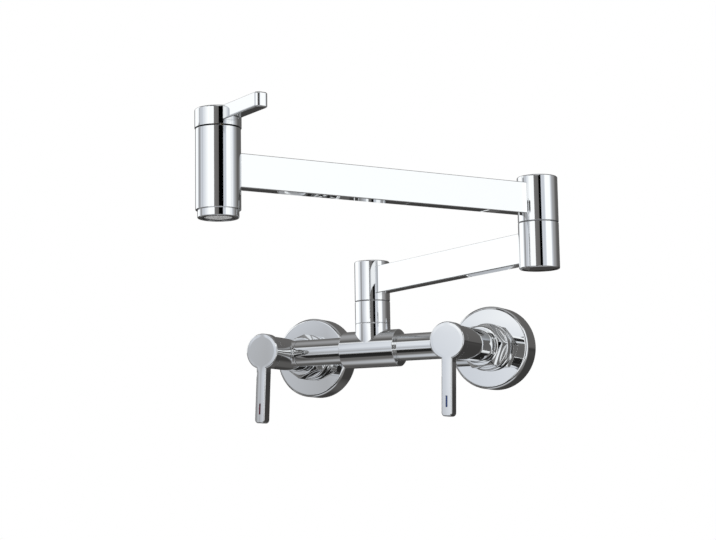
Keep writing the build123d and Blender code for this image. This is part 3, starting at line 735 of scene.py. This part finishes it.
thread_pitch = 0.001814
thread_depth = 0.00116
thread_sharpness = 0.93  # 1 would be a sharp triangle wave
thread_lead = 0.001
wall_thread_radius = 0.0104775
union_thread_radius = 0.0132205
water_bore_radius = 0.0055
connector_back = -0.015
connector_shoulder = 0.0013
connector_front = 0.0263
union_thread_back = 0.0150
connector_columns = 96
wall_thread_rows = 110
union_thread_rows = 76


def thread_radius(distance, angle, crest, run_start, run_end):
    """Radius of a round-topped pipe thread: the crest less the depth times a rounded
    triangle wave whose phase is the distance over the pitch less the share of the turn.
    The depth grows from nothing over one pitch at each end of the run."""
    phase = 2 * np.pi * (distance / thread_pitch - angle / (2 * np.pi))
    soft_wave = np.arcsin(thread_sharpness * np.sin(phase))
    valley = 0.5 - soft_wave / (2 * math.asin(thread_sharpness))
    cut_in = np.clip((distance - run_start) / thread_pitch, 0, 1)
    cut_out = np.clip((run_end - distance) / thread_pitch, 0, 1)
    return crest - thread_depth * valley * (cut_in * cut_out)


def connector_mesh(name, axis):
    """Closed grid round the inlet's axis: wall thread, shoulder, plain part, union thread,
    front face and the bore."""
    angle = full_turn(connector_columns)
    lead = thread_lead
    wall_run = np.linspace(
        connector_back + lead, connector_shoulder - 0.0004, wall_thread_rows)[:, None]
    wall_radius = thread_radius(
        wall_run, angle, wall_thread_radius, connector_back - lead, connector_shoulder)
    union_run = np.linspace(
        union_thread_back, connector_front - lead, union_thread_rows)[:, None]
    union_radius = thread_radius(
        union_run, angle, union_thread_radius, union_thread_back, connector_front + lead)
    back_end = round_corners([
        (connector_back + lead / 2, water_bore_radius),
        (connector_back, water_bore_radius + broken_edge),
        (connector_back, wall_thread_radius - lead),
        (connector_back + lead, wall_thread_radius),
    ], [small_break, small_break])[:-1]
    shoulder = round_corners([
        (connector_shoulder - 0.0003, wall_thread_radius),
        (connector_shoulder, wall_thread_radius),
        (connector_shoulder, union_thread_radius),
        (union_thread_back - 0.0002, union_thread_radius),
    ], [fine_break, broken_edge])
    front_end = round_corners([
        (connector_front - lead * 0.9, union_thread_radius - fine_break),
        (connector_front, union_thread_radius - lead), (connector_front, water_bore_radius),
        (connector_front - lead / 2, water_bore_radius),
    ], [small_break, broken_edge])
    pieces = []
    for distance, radius in (
        (back_end[:, :1], back_end[:, 1:]), (wall_run, wall_radius),
        (shoulder[:, :1], shoulder[:, 1:]), (union_run, union_radius),
        (front_end[:, :1], front_end[:, 1:]),
    ):
        pieces.append(np.stack([distance + 0 * angle, radius + 0 * angle]))
    distance, radius = np.concatenate(pieces, axis=1)
    return ring_mesh(name, round_wall_axis(axis, distance, radius, angle))


# Rings left by the turning tool round one axis: a wave along the axis and out from it,
# with a depth that wanders.
lathe_group, start, end = new_group(
    "lathe_rings",
    [("Place", "NodeSocketVector"), ("Axis", "NodeSocketVector"), ("Pitch", "NodeSocketFloat")],
    [("Height", "NodeSocketFloat"), ("Tarnish", "NodeSocketFloat")])
travel = vector_node(lathe_group, "DOT_PRODUCT", start["Place"], start["Axis"])
turns = math_node(lathe_group, "DIVIDE", travel, start["Pitch"])
wave = math_node(lathe_group, "SINE", math_node(lathe_group, "MULTIPLY", turns, 2 * math.pi))
wander = noise_node(lathe_group, start["Place"], 420, 3.0)
link(lathe_group, math_node(lathe_group, "MULTIPLY", wave, wander), end["Height"])
cloud = noise_node(lathe_group, start["Place"], 150, 6.0, 0.65)
link(lathe_group, rescale(lathe_group, cloud, 0.42, 0.70, 0.0, 1.0), end["Tarnish"])


tool_pitch = 0.00016
tarnish_roughness = 0.14  # added in the tarnished patches
rubbed_roughness = -0.06  # added at the edges, which are smoother


def turned_metal(name, bright, tarnished, axis, roughness):
    """Bare turned metal with tool rings, duller in its tarnished patches, bright at edges."""
    material, tree, surface, place = new_material(name)
    edges = place_group(tree, edges_group, Radius=0.00015)
    rings = place_group(tree, lathe_group, Place=place, Axis=axis, Pitch=tool_pitch)
    link(tree, bump_node(tree, rings["Height"], 3 * micrometre, edges["Normal"]), surface["Normal"])
    patches = mix_node(tree, rings["Tarnish"], bright, tarnished)
    link(tree, mix_node(tree, edges["Mask"], patches, bright), surface["Base Color"])
    dulled = math_node(tree, "MULTIPLY_ADD", rings["Tarnish"], tarnish_roughness, roughness)
    rubbed = math_node(tree, "MULTIPLY_ADD", edges["Mask"], rubbed_roughness, dulled)
    link(tree, rubbed, surface["Roughness"])
    surface["Metallic"].default_value = 1.0
    return material


brass_bright = (0.80, 0.58, 0.27, 1)
brass_tarnished = (0.52, 0.34, 0.14, 1)
out_from_wall = (0, 1, 0)
upright = (0, 0, 1)
wall_axis_brass = turned_metal(
    "brass_turned_out_from_wall", brass_bright, brass_tarnished, out_from_wall, roughness=0.20)
upright_brass = turned_metal(
    "brass_turned_upright", brass_bright, brass_tarnished, upright, roughness=0.20)

for side, axis in (("hot", hot_axis), ("cold", cold_axis)):
    name = side + "_threaded_connector"
    connector = add_piece(name, connector_mesh(name, axis), wall_axis_brass, "wall_body")
    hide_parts(side + "_wall_connector")
    dress(side + "_tail_nipple", wall_axis_brass)

# ---------------------------------------------------------------- valve cartridges and seals
# Each valve has a brass cartridge: a spindle turns one lapped ceramic disc on another, and
# black rubber rings seal it. They are pressed on their seats by the brass housing.

for side in ("hot", "cold"):
    dress(side + "_cartridge_housing", wall_axis_brass)
    dress(side + "_spindle", wall_axis_brass)
for name in ("outlet_cartridge_housing", "outlet_spindle", "riser_spindle", "elbow_spindle"):
    dress(name, upright_brass)


# Grain of a moulded or lapped surface, and clouds in it twelve times as wide.
grain_group, start, end = new_group(
    "surface_grain", [("Place", "NodeSocketVector"), ("Grain", "NodeSocketFloat")],
    [("Fine", "NodeSocketFloat"), ("Cloud", "NodeSocketFloat")])
link(grain_group, noise_node(grain_group, start["Place"], start["Grain"], 4.0, 0.6), end["Fine"])
cloud_scale = math_node(grain_group, "DIVIDE", start["Grain"], 12.0)
cloud = noise_node(grain_group, start["Place"], cloud_scale, 3.0)
link(grain_group, rescale(grain_group, cloud, 0.4, 0.7, 0.0, 0.5), end["Cloud"])


def dull_material(name, colour, worn, roughness, grain, depth):
    """Moulded or lapped surface: a fine grain, cloudy colour, and edges rubbed paler."""
    material, tree, surface, place = new_material(name)
    edges = place_group(tree, edges_group, Radius=0.0002)
    grained = place_group(tree, grain_group, Place=place, Grain=grain)
    rubbed = math_node(tree, "MAXIMUM", grained["Cloud"], edges["Mask"])
    link(tree, mix_node(tree, rubbed, colour, worn), surface["Base Color"])
    link(tree, bump_node(tree, grained["Fine"], depth, edges["Normal"]), surface["Normal"])
    uneven = rescale(tree, grained["Fine"], 0.3, 0.7, roughness - 0.06, roughness + 0.06)
    link(tree, uneven, surface["Roughness"])
    return material


lapped_ceramic = dull_material(
    "lapped_ceramic", (0.83, 0.81, 0.76, 1), (0.90, 0.89, 0.86, 1),
    roughness=0.30, grain=9000, depth=1.5 * micrometre)
black_rubber = dull_material(
    "black_rubber", (0.018, 0.018, 0.019, 1), (0.045, 0.045, 0.047, 1),
    roughness=0.62, grain=5000, depth=6 * micrometre)
for name in (
    "fixed_discs", "hot_turning_disc", "cold_turning_disc", "outlet_fixed_disc",
    "outlet_turning_disc",
):
    dress(name, lapped_ceramic)
for name in (
    "union_washers", "seat_seals", "outlet_seat_seal", "hot_spindle_rings", "cold_spindle_rings",
    "outlet_spindle_rings", "riser_rings", "elbow_rings", "aerator_washer",
):
    dress(name, black_rubber)

# ---------------------------------------------------------------- swivel washers and screws
# Dark low-friction plastic washers lie between the faces that turn on each other. Stainless
# steel screws and washers hold each hub on its spindle, and grip the handles.

slip_plastic = dull_material(
    "slip_plastic", (0.055, 0.055, 0.06, 1), (0.12, 0.12, 0.125, 1),
    roughness=0.40, grain=6000, depth=4 * micrometre)
for name in ("riser_slip_washer", "elbow_slip_washer"):
    dress(name, slip_plastic)
steel_bright = (0.60, 0.60, 0.59, 1)
steel_dull = (0.44, 0.44, 0.43, 1)
upright_steel = turned_metal(
    "stainless_steel", steel_bright, steel_dull, upright, roughness=0.24)
for name in (
    "riser_retaining_washer", "elbow_retaining_washer", "riser_retaining_screw",
    "elbow_retaining_screw", "hot_set_screw", "cold_set_screw", "outlet_set_screw",
):
    dress(name, upright_steel)

# ---------------------------------------------------------------- aerator
# Black moulded cup in the chromed ring, with a disc of woven stainless wire held flush in
# its mouth, as seen from below. It mixes air into the stream.

outlet_axis = (0.05126, -0.34919)
cup_base = 0.0521
cup_lip = 0.0527
cup_top = 0.0591
cup_floor_low = cup_base + 0.0012
cup_floor_top = cup_base + 0.0020
cup_radius = 0.0100
cup_lip_radius = 0.00935
cup_mouth_radius = 0.0079
cup_bore_radius = 0.0081
cup_hole_radius = 0.0004
cup_seam_start = cup_base + 0.0008
cup_seam_end = cup_base + 0.0009
cup_columns = 128
cup_floor_break = 0.00005
wire_disc_height = 0.05265
wire_disc_radius = 0.0080
wire_pitch = 0.0009
wire_thickness = 0.00040
wire_sides = 6
wire_stations = 4  # from one crossing to the next
wire_tip_share = 0.02  # of the thickness, at a wire's end


def outlet_ring(height, radius, angle):
    """Points round the outlet's axis: x and y from the axis by r cos a and r sin a."""
    x = outlet_axis[0] + radius * np.cos(angle)
    y = outlet_axis[1] + radius * np.sin(angle)
    return np.stack(np.broadcast_arrays(x, y, height), axis=-1)


# Section of the cup as (height, radius): from the mouth out and up the outside, down the
# bore and round the floor, under which the mouth's wall holds the ends of the wires.
cup_profile = round_corners([
    (cup_seam_start, cup_mouth_radius), (cup_base, cup_mouth_radius),
    (cup_base, cup_lip_radius), (cup_lip, cup_lip_radius), (cup_lip, cup_radius),
    (cup_top, cup_radius), (cup_top, cup_bore_radius), (cup_floor_top, cup_bore_radius),
    (cup_floor_top, cup_hole_radius), (cup_floor_low, cup_hole_radius),
    (cup_floor_low, cup_mouth_radius), (cup_seam_end, cup_mouth_radius),
], [
    broken_edge, broken_edge, fine_break, small_break, small_break, small_break, broken_edge,
    fine_break, fine_break, cup_floor_break,
])
cup_points = outlet_ring(cup_profile[:, :1], cup_profile[:, 1:], full_turn(cup_columns))
cup_mesh = ring_mesh("aerator_cup", cup_points)
moulded_plastic = dull_material(
    "black_moulded_plastic", (0.022, 0.022, 0.024, 1), (0.06, 0.06, 0.065, 1),
    roughness=0.36, grain=4200, depth=5 * micrometre)
cup = add_piece("aerator_cup", cup_mesh, moulded_plastic, "upper_arm")
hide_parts("aerator_insert")


def woven_disc(name, radius, pitch, wire):
    """Plain weave of round wires cut to a disc. Wire number i lies at i times the pitch
    across, runs to the disc's edge, and rises and falls by half its thickness with the
    cosine of pi times the way along over the pitch, one wire up where the next is down.
    The second set is the first turned by a right angle, up where the first is down. The
    wires narrow almost to a point at their ends."""
    count = int(radius / pitch)
    number = np.arange(-count, count + 1)[:, None, None]
    share = np.linspace(-1, 1, 2 * count * wire_stations + 1)[None, :, None]
    around = np.linspace(2 * np.pi, 0, wire_sides, endpoint=False)[None, None, :]
    across = number * pitch
    along = share * np.sqrt(radius**2 - across**2)
    end_cap = np.where(np.abs(share) > 0.9999, wire_tip_share, 1.0)
    rise = wire / 2 * np.cos(np.pi * along / pitch + np.pi * number)
    side = across + wire / 2 * np.cos(around) * end_cap
    thickness = wire / 2 * np.sin(around) * end_cap
    along = along + 0 * around
    first = np.stack([along, side, thickness + rise], axis=-1)
    second = np.stack([-side, along, thickness - rise], axis=-1)
    wires = np.concatenate([first, second])
    sets, stations, sides = wires.shape[:3]
    points = wires.reshape(-1, 3) + np.array([*outlet_axis, wire_disc_height])
    strand = np.arange(sets)[:, None, None] * stations * sides
    station = np.arange(stations - 1)[None, :, None] * sides
    corner = np.arange(sides)[None, None, :]
    next_corner = (corner + 1) % sides
    faces = np.stack([
        strand + station + corner, strand + station + sides + corner,
        strand + station + sides + next_corner, strand + station + next_corner,
    ], axis=-1).reshape(-1, 4)
    first_cap = (strand + corner).reshape(sets, sides)
    last_cap = (strand + (stations - 1) * sides + corner).reshape(sets, sides)[:, ::-1]
    mesh = bpy.data.meshes.new(name)
    mesh.from_pydata(points.tolist(), [], faces.tolist() + first_cap.tolist() + last_cap.tolist())
    mesh.shade_smooth()
    return mesh


# A film of lime makes the wires pale and half matt.
wire_bright = (0.80, 0.80, 0.79, 1)
wire_dull = (0.66, 0.66, 0.65, 1)
wire_steel = turned_metal(
    "drawn_steel_wire", wire_bright, wire_dull, upright, roughness=0.42)
wire_steel.node_tree.nodes["Principled BSDF"].inputs["Metallic"].default_value = 0.5
wire_mesh = woven_disc("aerator_mesh", wire_disc_radius, wire_pitch, wire_thickness)
add_piece("aerator_mesh", wire_mesh, wire_steel, "upper_arm")
